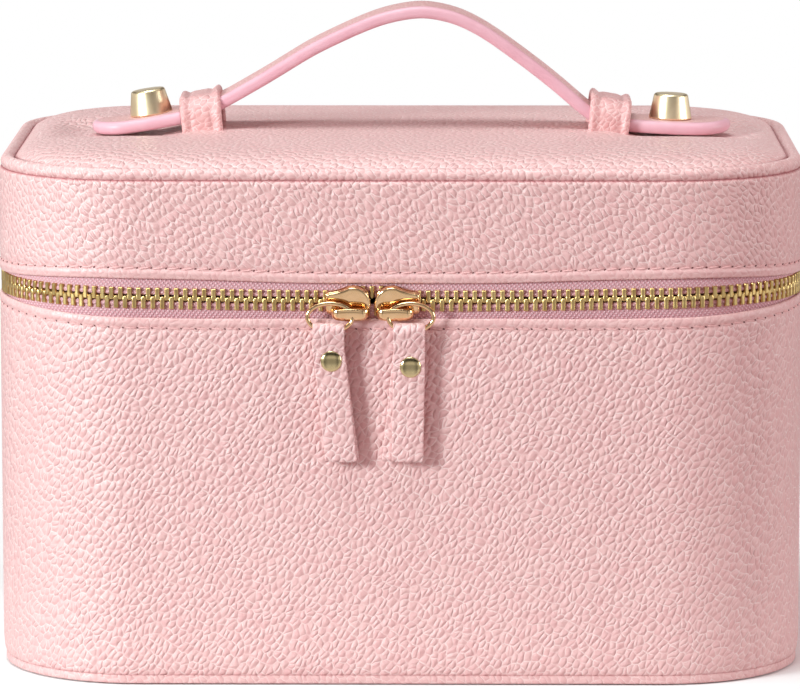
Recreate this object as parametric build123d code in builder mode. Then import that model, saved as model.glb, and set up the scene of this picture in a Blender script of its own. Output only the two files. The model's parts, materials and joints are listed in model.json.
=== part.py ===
"""Makeup train case: a board box covered in grained leather, closed all round by a metal
zip with two sliders, with a strap handle that slides through two keeper loops on the lid.

Front is -Y, up is +Z, and the origin is the middle of the underside, on the table.
All sizes are millimetres. An inset is a distance inwards from the outer leather face.
"""

import math
import os

from build123d import *

# ---------------------------------------------------------------- the box
width = 220.0  # along X, over the leather
depth = 150.0  # along Y, over the leather
corner_radius = 39.0  # upright corners, outside
zip_height = 105.2  # middle of the zip chain above the table
lip_gap = 10.8  # between the two leather lips beside the zip
band_top = 137.2  # top edge of the lid's band, under the lid piping

leather = 1.2  # leather skin
board = 2.8  # stiffener board of the walls and panels
base_board_play = 0.2  # the base board is this much thinner
lip_round = 0.4  # of the leather's thickness, rounding of a lip's edges
lining = 0.6  # fabric lining
seam_gap = 0.1  # between a piping cord and the leather sewn to it

# ---------------------------------------------------------------- piping
base_cord = 1.3  # radius of the piping round the base
base_cord_setback = 0.1  # of its face from the leather face
base_cord_lift = 0.2  # its underside above the table
base_panel_gap = 0.3  # from the cord to the base panel
base_edge = 0.4  # rounding of the base panel's lower edge
lid_cord = 1.9  # radius of the piping round the lid
lid_cord_setback = 0.5
welt = 0.6  # thickness of a piping's sewn-in flange
welt_reach = 3.4  # how far that flange reaches past its cord
flange_start = 0.6  # share of the cord's radius where its flange starts

# ---------------------------------------------------------------- padded lid top
top_foam = 1.6  # padding at the middle of the lid
crown_slope = 10.8  # width of the sloping border of the padded top
top_board_sink = 0.4  # of the top board below the band's edge

# ---------------------------------------------------------------- zip
tape = 0.6  # zip tape thickness
tape_edge = 1.6  # from the chain's middle to the corded edge of each tape
tape_tuck = 8.0  # how far a tape is sewn in behind its lip
tape_play = 0.05
tooth_pitch = 2.5
tooth_reach = 2.9  # from the chain's middle to a tooth's outer end
tooth_overlap = 0.5  # of a tooth past the chain's middle
tooth_head = 1.15
tooth_neck = 0.9
tooth_depth = 2.3
rear_opening = 57.0  # half the stretch of back wall that has no zip
hinge_half = 55.0  # half the length of the leather hinge strip
hinge_lining_tuck = 6.0

# ---------------------------------------------------------------- sliders
slider_centres = {"left": -13.85, "right": -0.8}
slider_length = 12.1
slider_nose = 4.7  # radius of the wide end
slider_tail = 3.9  # half height of the narrow end
slider_tilt = 10.0  # degrees, faces hang downwards under the pulls
slider_channel = 1.9  # half the room between the plates
slider_slot = 1.35  # half the slot that the tape runs in
slider_plate = 0.9
slider_flange = 0.65
wedge = 0.6  # half height of the post that parts the teeth
wedge_reach = (0.8, 4.6)  # where that post starts and ends, from the slider's middle
teeth_parting = 1.2  # how far the wedge pushes each row of teeth
parting_reach = (5.8, 9.5)  # fully parted, and meshed again, from between the noses

# ---------------------------------------------------------------- slider bridge, ring, pull
bridge_length = 9.1
bridge_shift = 0.5  # of the bridge towards the slider's nose
bridge_drop = 1.75  # of the bridge below the slider's middle line
bridge_width = 2.6
bridge_room = 2.8  # between the plate and the bar
bridge_bar = 1.5
bridge_post = 1.35
bridge_bevel = (0.9, 0.5)  # of the bar's ends, along and across
slider_edge = 0.3  # rounding of the outer plate's rim
slider_tail_round = 1.0
ring_wire = 0.55  # wire radius
ring_half_length = 6.1  # to the wire's middle
ring_half_height = 3.78
ring_end_radius = 3.55
ring_stand = 4.4  # of the ring's plane from the chain, along the slider's axis
ring_centres = {"left": -18.7, "right": 2.9}
ring_drop = 4.15  # of the ring's middle below the chain

tab_width = 8.5
tab_length = 35.3  # below the ring's lower wire
tab_leaf = 1.0
tab_slit = 0.2  # between the two leaves
tab_fold = 1.31  # inner radius of the fold
tab_neck = 4.7  # where the leaves come together, below the wire
tab_shift = {"left": 3.0, "right": -0.6}  # sideways lean of the tab's foot
rivet_drop = {"left": 7.9, "right": 9.5}
rivet_cap = 2.85
rivet_cap_height = 0.9
rivet_back = 2.5
rivet_back_height = 0.6
rivet_post = 0.9
rivet_play = 0.05
rivet_bevel = 0.3

# ---------------------------------------------------------------- strap handle
strap_width = 20.0
strap_thickness = 3.0
strap_rise = 34.7  # from the lid's crown to the middle of the strap at its top
strap_peak_x = 4.6  # the arch leans a little to the right
strap_peak_rise = 43.6  # where the two legs of the arch would meet, above the crown
strap_edge = 0.42  # rounding of its painted edges, as a share of its thickness
strap_bend_radius = 9.0
strap_bend_past = 2.6  # where each leg starts, past the middle of its keeper loop
strap_bend_rise = {"left": 4.5, "right": 3.6}
tongue_thickness = 4.2
tongue_setback = {"left": 23.5, "right": 18.1}  # of its tip from the end of the case
tongue_tip_rise = 2.5  # middle of the tongue at its tip, above the lid's crown
tongue_gap = 0.3  # from the keeper loop to where a tongue meets the arch
tongue_edge = 1.3  # rounding of the painted edge
stud_from_tip = 16.9
stud_base = 5.75
stud_top = 4.85
stud_height = 6.4
stud_rim = 0.5
screw_head = 3.6
screw_head_height = 0.7
screw_shank = 1.25
screw_reach = 3.5  # into the stud
screw_play = 0.05

# ---------------------------------------------------------------- keeper loops
keeper_setback = 53.1  # of the middle of each loop from the end of the case
keeper_width = 11.4
keeper_leather = 1.4
keeper_room = 0.8  # each side of the strap
keeper_rise = 11.9  # from the lid's crown to the underside of the loop's top
keeper_shoulder = 3.0
keeper_foot = 7.0
keeper_play = 0.2

# ---------------------------------------------------------------- places that follow
side = {"left": -1, "right": 1}
lower_lip = zip_height - lip_gap / 2
upper_lip = zip_height + lip_gap / 2
wall = leather + board + lining
chain_inset = leather + tape / 2
chain_y = depth / 2 - chain_inset
base_cord_top = base_cord_lift + 2 * base_cord
base_cord_inset = base_cord_setback + base_cord
lid_cord_inset = lid_cord_setback + lid_cord
lid_cord_height = band_top + seam_gap + lid_cord
base_board_low = leather + welt
base_board_high = base_board_low + board - base_board_play
top_board_low = band_top - top_board_sink
top_board_high = top_board_low + board
top_leather_low = top_board_high + welt
top_edge = top_leather_low + leather
lid_crown = top_edge + top_foam - welt
tilt = math.radians(slider_tilt)
ring_y = -chain_y - ring_stand * math.cos(tilt)
ring_height = zip_height - ring_drop
ring_low = ring_height - ring_half_height
keeper_x = width / 2 - keeper_setback
keeper_clear_top = lid_crown + keeper_rise
strap_top = lid_crown + strap_rise
strap_peak = (strap_peak_x, lid_crown + strap_peak_rise)
strap_bend_x = keeper_x + strap_bend_past
strap_bend_height = {name: lid_crown + strap_bend_rise[name] for name in side}
tongue_tips = {name: side[name] * (width / 2 - tongue_setback[name]) for name in side}
tongue_tip_height = lid_crown + tongue_tip_rise
tongue_inner_x = keeper_x + keeper_width / 2 + tongue_gap
strip_room = hinge_half + tape_play
strip_inset = 2 * leather + tape_play


def plan(inset, mode=Mode.ADD):
    """Draw the box's rounded outline, this far inside the leather face."""
    RectangleRounded(width - 2 * inset, depth - 2 * inset, corner_radius - inset, mode=mode)


def wall_ring(outer, inner, low, high, mode=Mode.ADD):
    """An upright wall all round the box, between two insets and two heights."""
    with BuildSketch(Plane.XY.offset(low)) as outline:
        plan(outer)
        plan(inner, mode=Mode.SUBTRACT)
    extrude(outline.sketch, amount=high - low, mode=mode)


def panel(inset, low, high):
    """A flat panel that fills the box's outline."""
    with BuildSketch(Plane.XY.offset(low)) as outline:
        plan(inset)
    extrude(outline.sketch, amount=high - low)


def rear_block(half_length, inset_low, inset_high, low, high, mode=Mode.ADD):
    """A block along the straight of the back wall."""
    with BuildSketch(Plane.XY.offset(low)) as outline:
        with Locations((0, depth / 2 - (inset_low + inset_high) / 2)):
            Rectangle(2 * half_length, inset_high - inset_low)
    extrude(outline.sketch, amount=high - low, mode=mode)


def crown(low, high, start_inset, mode=Mode.ADD):
    """The padded rise of the lid top: its border slopes, its middle is flat."""
    with BuildSketch(Plane.XY.offset(low)) as start:
        plan(start_inset)
    with BuildSketch(Plane.XY.offset(high)) as end:
        plan(start_inset + crown_slope)
    loft([start.sketch, end.sketch], mode=mode)


def cord(radius, inset, height):
    """A round piping cord all round the box."""
    half_x, half_y = width / 2 - inset, depth / 2 - inset
    corners = [(half_x, -half_y), (half_x, half_y), (-half_x, half_y), (-half_x, -half_y)]
    with BuildLine(Plane.XY.offset(height)) as route:
        FilletPolyline(*corners, radius=corner_radius - inset, close=True)
    wire = route.wires()[0]
    with BuildSketch(Plane(wire @ 0, z_dir=wire % 0)) as section:
        Circle(radius)
    sweep(section.sketch, path=wire)


def write(piece, label):
    """Label a finished piece and write it to its own file."""
    piece.label = label
    export_step(piece, f"parts/{label}.step")


os.makedirs("parts", exist_ok=True)

# ================================================================ base
# The base panel is leather over board, and the piping's flange lies between the two.
with BuildPart() as base_leather:
    panel(base_cord_inset + base_cord + base_panel_gap, 0, leather)
    fillet(base_leather.faces().sort_by(Axis.Z)[0].edges(), base_edge)
write(base_leather.part, "base_leather")

with BuildPart() as base_piping:
    cord(base_cord, base_cord_inset, base_cord_lift + base_cord)
    base_flange_inset = base_cord_inset + base_cord * flange_start
    flange_end = base_cord_inset + base_cord + welt_reach
    wall_ring(base_flange_inset, flange_end, leather, base_board_low)
write(base_piping.part, "base_piping")

with BuildPart() as base_board:
    panel(base_cord_inset + base_cord + seam_gap, base_board_low, base_board_high)
write(base_board.part, "base_board")

with BuildPart() as base_lining:
    panel(leather + board + seam_gap, base_board_high, base_board_high + lining)
write(base_lining.part, "base_lining")

# ================================================================ body walls
# Leather outside, board in the middle with a rebate for the zip tape, lining inside that
# turns over the board's top edge.
with BuildPart() as body_leather:
    wall_ring(0, leather, base_cord_top + seam_gap, lower_lip)
    top_face = body_leather.faces().sort_by(Axis.Z)[-1]
    fillet(top_face.edges(), leather * lip_round)
write(body_leather.part, "body_leather")

body_board_top = lower_lip - lining
with BuildPart() as body_board:
    wall_ring(leather, leather + board, base_board_high, body_board_top)
    rebate_floor = lower_lip - tape_tuck - tape_play
    wall_ring(leather, leather + tape + tape_play, rebate_floor, body_board_top, mode=Mode.SUBTRACT)
    rear_block(strip_room, leather, strip_inset, rebate_floor, body_board_top, mode=Mode.SUBTRACT)
write(body_board.part, "body_board")

with BuildPart() as body_lining:
    wall_ring(leather + board, wall, base_board_high + lining, lower_lip)
    wall_ring(leather + tape + tape_play, wall, body_board_top, lower_lip)
    rear_block(strip_room, leather, strip_inset, body_board_top, lower_lip, mode=Mode.SUBTRACT)
write(body_lining.part, "body_lining")

# ================================================================ lid
# A shallow tray of the same make, upside down, with a padded top inside its own piping.
with BuildPart() as lid_band_leather:
    wall_ring(0, leather, upper_lip, band_top)
    low_face = lid_band_leather.faces().sort_by(Axis.Z)[0]
    fillet(low_face.edges(), leather * lip_round)
write(lid_band_leather.part, "lid_band_leather")

band_board_low = upper_lip + lining
with BuildPart() as lid_band_board:
    wall_ring(leather, leather + board, band_board_low, top_board_low)
    rebate_top = upper_lip + tape_tuck + tape_play
    wall_ring(leather, leather + tape + tape_play, band_board_low, rebate_top, mode=Mode.SUBTRACT)
    rear_block(strip_room, leather, strip_inset, band_board_low, rebate_top, mode=Mode.SUBTRACT)
write(lid_band_board.part, "lid_band_board")

with BuildPart() as lid_lining:
    wall_ring(leather + board, wall, upper_lip, top_board_low)
    wall_ring(leather + tape + tape_play, wall, upper_lip, band_board_low)
    rear_block(strip_room, leather, strip_inset, upper_lip, band_board_low, mode=Mode.SUBTRACT)
    panel(leather + board, top_board_low - lining, top_board_low)
write(lid_lining.part, "lid_lining")

lid_cord_inner = lid_cord_inset + lid_cord
with BuildPart() as lid_piping:
    cord(lid_cord, lid_cord_inset, lid_cord_height)
    lid_flange_inset = lid_cord_inset + lid_cord * flange_start
    wall_ring(lid_flange_inset, lid_cord_inner + welt_reach, top_board_high, top_leather_low)
write(lid_piping.part, "lid_piping")

with BuildPart() as lid_top_board:
    panel(lid_cord_inner + seam_gap, top_board_low, top_board_high)
write(lid_top_board.part, "lid_top_board")

# The keeper loops' legs go down through the leather, and their feet lie in the foam.
keeper_inner = strap_width / 2 + keeper_room
keeper_outer = keeper_inner + keeper_leather
foot_height = top_foam - keeper_play
foam_inset = lid_cord_inner + welt_reach + seam_gap

with BuildPart() as keeper_pockets:
    with BuildSketch(Plane.XY.offset(top_board_high)):
        with GridLocations(2 * keeper_x, 2 * (keeper_inner + keeper_foot / 2), 2, 2):
            Rectangle(keeper_width + 2 * keeper_play, keeper_foot + 2 * keeper_play)
    extrude(amount=top_foam + leather)

with BuildPart() as keeper_slots:
    with BuildSketch(Plane.XY.offset(top_board_high)):
        with GridLocations(2 * keeper_x, keeper_inner + keeper_outer, 2, 2):
            Rectangle(keeper_width + 2 * keeper_play, keeper_leather + 2 * keeper_play)
    extrude(amount=lid_crown - top_board_high + 1)


with BuildPart() as lid_top_foam:
    crown(top_board_high, top_board_high + top_foam, foam_inset)
    add(keeper_pockets.part, mode=Mode.SUBTRACT)
write(lid_top_foam.part, "lid_top_foam")

with BuildPart() as lid_top_leather:
    panel(lid_cord_inner + seam_gap, top_leather_low, top_edge)
    crown(top_edge, lid_crown, foam_inset)
    crown(top_leather_low, lid_crown - leather, foam_inset, mode=Mode.SUBTRACT)
    add(keeper_slots.part, mode=Mode.SUBTRACT)
write(lid_top_leather.part, "lid_top_leather")

for name in ("left", "right"):
    with BuildPart() as keeper_loop:
        with BuildSketch(Plane.YZ.offset(side[name] * keeper_x)):
            legs = keeper_clear_top - top_board_high
            with Locations((0, top_board_high + (legs + keeper_leather) / 2)):
                Rectangle(2 * keeper_outer, legs + keeper_leather)
            with Locations((0, top_board_high + legs / 2)):
                Rectangle(2 * keeper_inner, legs, mode=Mode.SUBTRACT)
            with Locations(
                (keeper_inner + keeper_foot / 2, top_board_high + foot_height / 2),
                (-keeper_inner - keeper_foot / 2, top_board_high + foot_height / 2),
            ):
                Rectangle(keeper_foot, foot_height)
        extrude(amount=keeper_width / 2, both=True)
        long_edges = keeper_loop.edges().filter_by(Axis.X)
        outer_shoulders = long_edges.group_by(Axis.Z)[-1]
        fillet(outer_shoulders, keeper_shoulder)
        inner_shoulders = keeper_loop.edges().filter_by(Axis.X).filter_by(
            lambda edge: abs(edge.center().Z - keeper_clear_top) < 1e-3
        )
        fillet(inner_shoulders, keeper_shoulder - keeper_leather)
    write(keeper_loop.part, f"{name}_keeper_loop")

# ================================================================ zip tapes and hinge
# Each tape is sewn in behind its lip, and both stop either side of the leather hinge.
tape_low = lower_lip - tape_tuck
tape_high = upper_lip + tape_tuck
for label, low, high in (
    ("lower_zip_tape", tape_low, zip_height - tape_edge),
    ("upper_zip_tape", zip_height + tape_edge, tape_high),
):
    with BuildPart() as zip_tape:
        wall_ring(leather, leather + tape, low, high)
        rear_block(rear_opening, 0, wall, low, high, mode=Mode.SUBTRACT)
    write(zip_tape.part, label)

with BuildPart() as hinge_strip:
    rear_block(hinge_half, leather, 2 * leather, tape_low, tape_high)
write(hinge_strip.part, "hinge_strip")

with BuildPart() as hinge_lining:
    low, high = lower_lip - hinge_lining_tuck, upper_lip + hinge_lining_tuck
    rear_block(hinge_half, wall, wall + lining, low, high)
write(hinge_lining.part, "hinge_lining")

# ================================================================ zip teeth
# The right half of the chain's route, from the front's middle to its end on the back.
chain_radius = corner_radius - chain_inset
chain_x = width / 2 - chain_inset
front_run = width / 2 - corner_radius
with BuildLine() as chain_route:
    front_line = Line((0, -chain_y), (front_run, -chain_y))
    front_bend = RadiusArc(
        front_line @ 1, (chain_x, -(depth / 2 - corner_radius)), -chain_radius
    )
    side_line = Line(front_bend @ 1, (chain_x, depth / 2 - corner_radius))
    rear_bend = RadiusArc(side_line @ 1, (front_run, chain_y), -chain_radius)
    Line(rear_bend @ 1, (rear_opening, chain_y))
chain = chain_route.wires()[0]
nose_gap = sum(slider_centres.values()) / 2


def parting(x):
    """How far the sliders' wedges hold the teeth apart at this place on the front."""
    near, far = parting_reach
    share = min(max((far - abs(x - nose_gap)) / (far - near), 0), 1)
    return teeth_parting * (1 - math.cos(math.pi * share)) / 2


# One tooth seen from the front: it grips the tape's corded edge and its head hooks
# between the two heads of the other row.
tooth_outline = [
    (-tooth_neck / 2, tooth_reach),
    (-tooth_head / 2, tooth_overlap / 2),
    (-tooth_neck / 2, -tooth_overlap),
    (tooth_neck / 2, -tooth_overlap),
    (tooth_head / 2, tooth_overlap / 2),
    (tooth_neck / 2, tooth_reach),
]
front_plane = Plane((0, -chain_y, zip_height), x_dir=(1, 0, 0), z_dir=(0, -1, 0))

for row, direction, phase in (("upper", 1, 0.0), ("lower", -1, 0.5)):
    count = int(front_run / tooth_pitch - phase)
    places = [(step + phase) * tooth_pitch for step in range(count + 1)]
    places = sorted(set(places + [-place for place in places]))
    with BuildPart() as front_teeth:
        with BuildSketch(front_plane):
            with Locations(*[(x, direction * parting(x)) for x in places]):
                Polygon(*[(x, direction * z) for x, z in tooth_outline], align=None)
        extrude(amount=tooth_depth / 2, both=True)
    write(front_teeth.part, f"{row}_teeth_front")

    # Round the corners each tooth is a plain bar, square to the chain.
    teeth = []
    step = count + 1
    while (step + phase) * tooth_pitch < chain.length:
        run = (step + phase) * tooth_pitch
        place = chain.position_at(run, PositionMode.LENGTH)
        along = chain.tangent_at(run, PositionMode.LENGTH)
        frame = Plane(
            place + Vector(0, 0, zip_height), x_dir=along, z_dir=along.cross(Vector(0, 0, 1))
        )
        bar_middle = direction * (tooth_reach - tooth_overlap) / 2
        bar = frame * Pos(0, bar_middle, 0) * Box(
            tooth_neck, tooth_reach + tooth_overlap, tooth_depth
        )
        teeth += [bar, mirror(bar, about=Plane.YZ)]
        step += 1
    write(Compound(teeth), f"{row}_teeth_sides")

# ================================================================ sliders
# Two pear-shaped plates joined by a wedge at the nose, with flanges that hold the teeth
# in, and a cast bridge over the outer plate for the ring.
nose_x = slider_length / 2 - slider_nose
tail_x = -slider_length / 2
bevel_along, bevel_across = bridge_bevel
bridge_top = slider_channel + slider_plate + bridge_room + bridge_bar


def draw_pear():
    """A slider plate's outline: a round nose drawn in to a narrow tail."""
    with Locations((nose_x, 0)):
        Circle(slider_nose)
    tail_y = slider_tail - slider_tail_round
    with Locations((tail_x + slider_tail_round, tail_y), (tail_x + slider_tail_round, -tail_y)):
        Circle(slider_tail_round)
    make_hull()


for name, centre in slider_centres.items():
    nose = -side[name]
    face = (0, -math.cos(tilt), -math.sin(tilt))
    seat = Plane((centre, -chain_y, zip_height), x_dir=(nose, 0, 0), z_dir=face)
    drop = -nose * bridge_drop
    with BuildPart() as slider:
        for start, outward in ((slider_channel, 1), (-slider_channel, -1)):
            with BuildSketch(seat.offset(start)):
                draw_pear()
            extrude(amount=outward * slider_plate)
            plate_faces = slider.faces(Select.LAST).sort_by(Axis(seat.origin, outward * seat.z_dir))
            fillet(plate_faces[-1].edges(), slider_edge)
        for start in (slider_slot, -slider_channel):
            with BuildSketch(seat.offset(start)):
                draw_pear()
                offset(amount=-slider_flange, mode=Mode.SUBTRACT)
                with Locations((nose_x + slider_nose / 2 + 1, 0)):
                    Rectangle(slider_nose, 4 * slider_nose, mode=Mode.SUBTRACT)
                with Locations((tail_x, 0)):
                    Rectangle(4 * slider_flange, 2 * (slider_tail - slider_flange), mode=Mode.SUBTRACT)
            extrude(amount=slider_channel - slider_slot)
        with BuildSketch(seat.offset(-slider_channel)):
            wedge_start, wedge_end = wedge_reach
            Polygon((wedge_start, 0), (wedge_end, wedge), (wedge_end, -wedge), align=None)
        extrude(amount=2 * slider_channel)
        outer_face = slider_channel + slider_plate
        side_view = Plane(seat.from_local_coords((bridge_shift, drop, 0)), x_dir=seat.x_dir,
                          z_dir=seat.x_dir.cross(seat.z_dir))
        with BuildSketch(side_view):
            with BuildLine():
                half = bridge_length / 2
                Polyline(
                    (-half, outer_face),
                    (-half, bridge_top - bevel_across),
                    (-half + bevel_along, bridge_top),
                    (half - bevel_along, bridge_top),
                    (half, bridge_top - bevel_across),
                    (half, outer_face),
                    close=True,
                )
            make_face()
            with Locations((0, outer_face + bridge_room / 2)):
                Rectangle(bridge_length - 2 * bridge_post, bridge_room, mode=Mode.SUBTRACT)
        extrude(amount=bridge_width / 2, both=True)
    write(slider.part, f"{name}_slider")

# ================================================================ pull rings
# An oval of round wire, drawn with four tangent arcs, threaded under the bridge.
ring_side_radius = (
    ring_half_length**2 + ring_half_height**2 - 2 * ring_half_length * ring_end_radius
) / (2 * (ring_half_height - ring_end_radius))
end_x = ring_half_length - ring_end_radius
side_y = ring_side_radius - ring_half_height
end_half = math.degrees(math.atan2(side_y, end_x))
side_arc = 180 - 2 * end_half

for name, centre in ring_centres.items():
    loop = Plane((centre, ring_y, ring_height), x_dir=(1, 0, 0), z_dir=(0, -1, 0))
    with BuildPart() as pull_ring:
        with BuildLine(loop) as oval:
            CenterArc((end_x, 0), ring_end_radius, -end_half, 2 * end_half)
            CenterArc((0, -side_y), ring_side_radius, end_half, side_arc)
            CenterArc((-end_x, 0), ring_end_radius, 180 - end_half, 2 * end_half)
            CenterArc((0, side_y), ring_side_radius, 180 + end_half, side_arc)
        wire = oval.wires()[0]
        with BuildSketch(Plane(wire @ 0, z_dir=wire % 0)):
            Circle(ring_wire)
        sweep(path=wire)
    write(pull_ring.part, f"{name}_pull_ring")

# ================================================================ pull tabs and rivets
# A strip of leather folded over the ring's lower wire, its two leaves riveted together.
leaves = tab_leaf + tab_slit / 2
fold_sliver = 0.1  # the thin bar that a hull reaches down to from the fold
for name, centre in ring_centres.items():
    fold_view = Plane((centre, ring_y, ring_low), x_dir=(0, -1, 0), z_dir=(-1, 0, 0))
    front_view = Plane((centre, ring_y, ring_low), x_dir=(1, 0, 0), z_dir=(0, -1, 0))
    foot_shift = tab_shift[name]
    slope = foot_shift / (tab_length - tab_neck)
    rivet_x = (rivet_drop[name] - tab_neck) * slope
    rivet_at = (rivet_x, -rivet_drop[name])
    with BuildPart() as pull_tab:
        with BuildSketch(fold_view):
            Circle(tab_fold + tab_leaf)
            with Locations((0, -tab_neck + fold_sliver / 2)):
                Rectangle(2 * leaves, fold_sliver)
            make_hull()
        extrude(amount=tab_width / 2, both=True)
        with BuildSketch(front_view):
            Polygon(
                (-tab_width / 2, -tab_neck),
                (foot_shift - tab_width / 2, -tab_length),
                (foot_shift + tab_width / 2, -tab_length),
                (tab_width / 2, -tab_neck),
                align=None,
            )
        extrude(amount=leaves, both=True)
        with BuildSketch(fold_view):
            Circle(tab_fold)
            with Locations((0, -tab_neck + fold_sliver / 2)):
                Rectangle(tab_slit, fold_sliver)
            make_hull()
        extrude(amount=tab_width, both=True, mode=Mode.SUBTRACT)
        with BuildSketch(front_view):
            with Locations((0, -(tab_length + tab_neck) / 2)):
                Rectangle(4 * tab_width, tab_length - tab_neck + 2 * fold_sliver)
        extrude(amount=tab_slit / 2, both=True, mode=Mode.SUBTRACT)
        with BuildSketch(front_view):
            with Locations(rivet_at):
                Circle(rivet_post + rivet_play)
        extrude(amount=2 * leaves, both=True, mode=Mode.SUBTRACT)
    write(pull_tab.part, f"{name}_pull_tab")

    # The rivet is turned about the Y axis at the origin, then put in its hole.
    back = leaves + rivet_back_height
    front = -leaves - rivet_cap_height
    dome_rise = rivet_cap_height * 2 / 3
    # A shallow dome is part of a ball that has its centre on the rivet's axis.
    dome_radius = (rivet_cap**2 + dome_rise**2) / (2 * dome_rise)
    with BuildPart() as pull_rivet:
        with BuildSketch():
            with BuildLine():
                Polyline(
                    (0, back),
                    (rivet_back - rivet_bevel, back),
                    (rivet_back, back - rivet_bevel),
                    (rivet_back, leaves),
                    (rivet_post, leaves),
                    (rivet_post, -leaves),
                    (rivet_cap, -leaves),
                    (rivet_cap, -leaves - rivet_cap_height / 3),
                )
                RadiusArc(
                    (rivet_cap, -leaves - rivet_cap_height / 3),
                    (0, front),
                    dome_radius,
                )
                Line((0, front), (0, back))
            make_face()
        revolve(axis=Axis.Y)
    rivet_place = front_view.from_local_coords((*rivet_at, 0))
    write(pull_rivet.part.moved(Location(rivet_place)), f"{name}_pull_rivet")

# ================================================================ strap handle
# The arch is one padded strap. Its two ends are thicker tongues that slide through the
# keeper loops, and each tongue carries a screwed stud that stops at the loop.
peak_x, peak_z = strap_peak
bends = {name: (side[name] * strap_bend_x, strap_bend_height[name]) for name in side}


def tongue_line(name):
    """Where a tongue's middle line starts and its unit direction towards the arch."""
    tip = Vector(tongue_tips[name], 0, tongue_tip_height)
    bend = Vector(bends[name][0], 0, bends[name][1])
    return tip, (bend - tip).normalized()


def tongue_joint(name):
    """The point where a tongue meets the arch."""
    tip, along = tongue_line(name)
    reach = (abs(tip.X) - tongue_inner_x) / abs(along.X)
    return tip + along * reach


leg_slopes = {
    name: math.atan2(peak_z - z, abs(peak_x - x)) for name, (x, z) in bends.items()
}
turn = (leg_slopes["left"] + leg_slopes["right"]) / 2
crown_radius = (peak_z - strap_top) / (1 / math.cos(turn) - 1)
with BuildPart() as handle_strap:
    with BuildLine(Plane.XZ) as arch:
        starts = {name: tongue_joint(name) for name in side}
        FilletPolyline(
            (starts["left"].X, starts["left"].Z),
            bends["left"],
            strap_peak,
            bends["right"],
            (starts["right"].X, starts["right"].Z),
            radius=(strap_bend_radius, crown_radius, strap_bend_radius),
        )
    arch_line = arch.wires()[0]
    with BuildSketch(Plane(arch_line @ 0, x_dir=(0, 1, 0), z_dir=arch_line % 0)):
        RectangleRounded(strap_width, strap_thickness, strap_thickness * strap_edge)
    sweep(path=arch_line)
write(handle_strap.part, "handle_strap")

for name in side:
    tip, along = tongue_line(name)
    up = Vector(0, 1, 0).cross(along) * side[name]
    reach = (tongue_joint(name) - tip).length
    underside = Plane(tip - up * (tongue_thickness / 2), x_dir=along, z_dir=up)
    stud_at = (stud_from_tip, 0)
    with BuildPart() as strap_end:
        with BuildSketch(underside):
            with Locations((strap_width / 2, 0)):
                Circle(strap_width / 2)
            with Locations(((reach + strap_width / 2) / 2, 0)):
                Rectangle(reach - strap_width / 2, strap_width)
        extrude(amount=tongue_thickness)
        rims = strap_end.faces().filter_by(Plane(origin=(0, 0, 0), z_dir=up))
        rim_edges = rims.edges().filter_by(
            lambda edge: (edge.center() - tongue_joint(name)).length > strap_width / 4 + 1
        )
        fillet(rim_edges, tongue_edge)
        with BuildSketch(underside):
            with Locations(stud_at):
                Circle(screw_head + screw_play)
        extrude(amount=screw_head_height, mode=Mode.SUBTRACT)
        with BuildSketch(underside):
            with Locations(stud_at):
                Circle(screw_shank + screw_play)
        extrude(amount=tongue_thickness, mode=Mode.SUBTRACT)
    write(strap_end.part, f"{name}_strap_end")

    foot = underside.from_local_coords((*stud_at, 0))
    profile_view = Plane(foot, x_dir=along, z_dir=along.cross(up))
    with BuildPart() as stud:
        with BuildSketch(profile_view):
            with BuildLine():
                low = tongue_thickness
                high = tongue_thickness + stud_height
                Polyline(
                    (screw_shank, low),
                    (stud_base - stud_rim, low),
                    (stud_base, low + stud_rim),
                    (stud_top, high - stud_rim),
                    (stud_top - stud_rim, high),
                    (0, high),
                    (0, low + screw_reach),
                    (screw_shank, low + screw_reach),
                    close=True,
                )
            make_face()
        revolve(axis=Axis(foot, up))
    write(stud.part, f"{name}_stud")

    with BuildPart() as stud_screw:
        with BuildSketch(underside):
            with Locations(stud_at):
                Circle(screw_head)
        extrude(amount=screw_head_height)
        with BuildSketch(underside):
            with Locations(stud_at):
                Circle(screw_shank)
        extrude(amount=tongue_thickness + screw_reach)
    write(stud_screw.part, f"{name}_stud_screw")
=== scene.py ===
"""Makeup train case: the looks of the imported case.

Pebbled pink leather skins, piping, a twill zip tape with brass teeth, gilt fittings and a
strap handle are built round the CAD frame, in the same place and at the same size.
Lengths are millimetres until a mesh is made, and every mesh is in metres.
"""

import json
import math

import bpy
import numpy as np
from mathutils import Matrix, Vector


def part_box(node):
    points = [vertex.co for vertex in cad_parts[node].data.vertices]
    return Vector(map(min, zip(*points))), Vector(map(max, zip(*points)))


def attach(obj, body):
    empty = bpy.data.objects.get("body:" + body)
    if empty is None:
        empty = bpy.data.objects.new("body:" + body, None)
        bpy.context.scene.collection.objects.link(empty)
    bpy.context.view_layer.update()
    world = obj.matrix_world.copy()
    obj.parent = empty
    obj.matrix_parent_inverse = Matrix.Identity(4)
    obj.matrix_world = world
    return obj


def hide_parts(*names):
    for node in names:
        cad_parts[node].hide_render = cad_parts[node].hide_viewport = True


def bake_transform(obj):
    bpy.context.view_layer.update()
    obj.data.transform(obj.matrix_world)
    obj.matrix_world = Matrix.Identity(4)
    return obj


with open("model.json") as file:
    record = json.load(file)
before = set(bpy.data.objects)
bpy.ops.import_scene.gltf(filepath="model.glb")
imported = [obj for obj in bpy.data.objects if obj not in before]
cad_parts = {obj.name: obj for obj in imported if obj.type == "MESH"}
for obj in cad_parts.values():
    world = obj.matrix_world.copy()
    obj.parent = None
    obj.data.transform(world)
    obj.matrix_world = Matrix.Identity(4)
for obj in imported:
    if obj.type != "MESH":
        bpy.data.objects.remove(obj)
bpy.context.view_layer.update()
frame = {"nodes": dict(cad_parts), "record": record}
scene = bpy.context.scene

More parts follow.
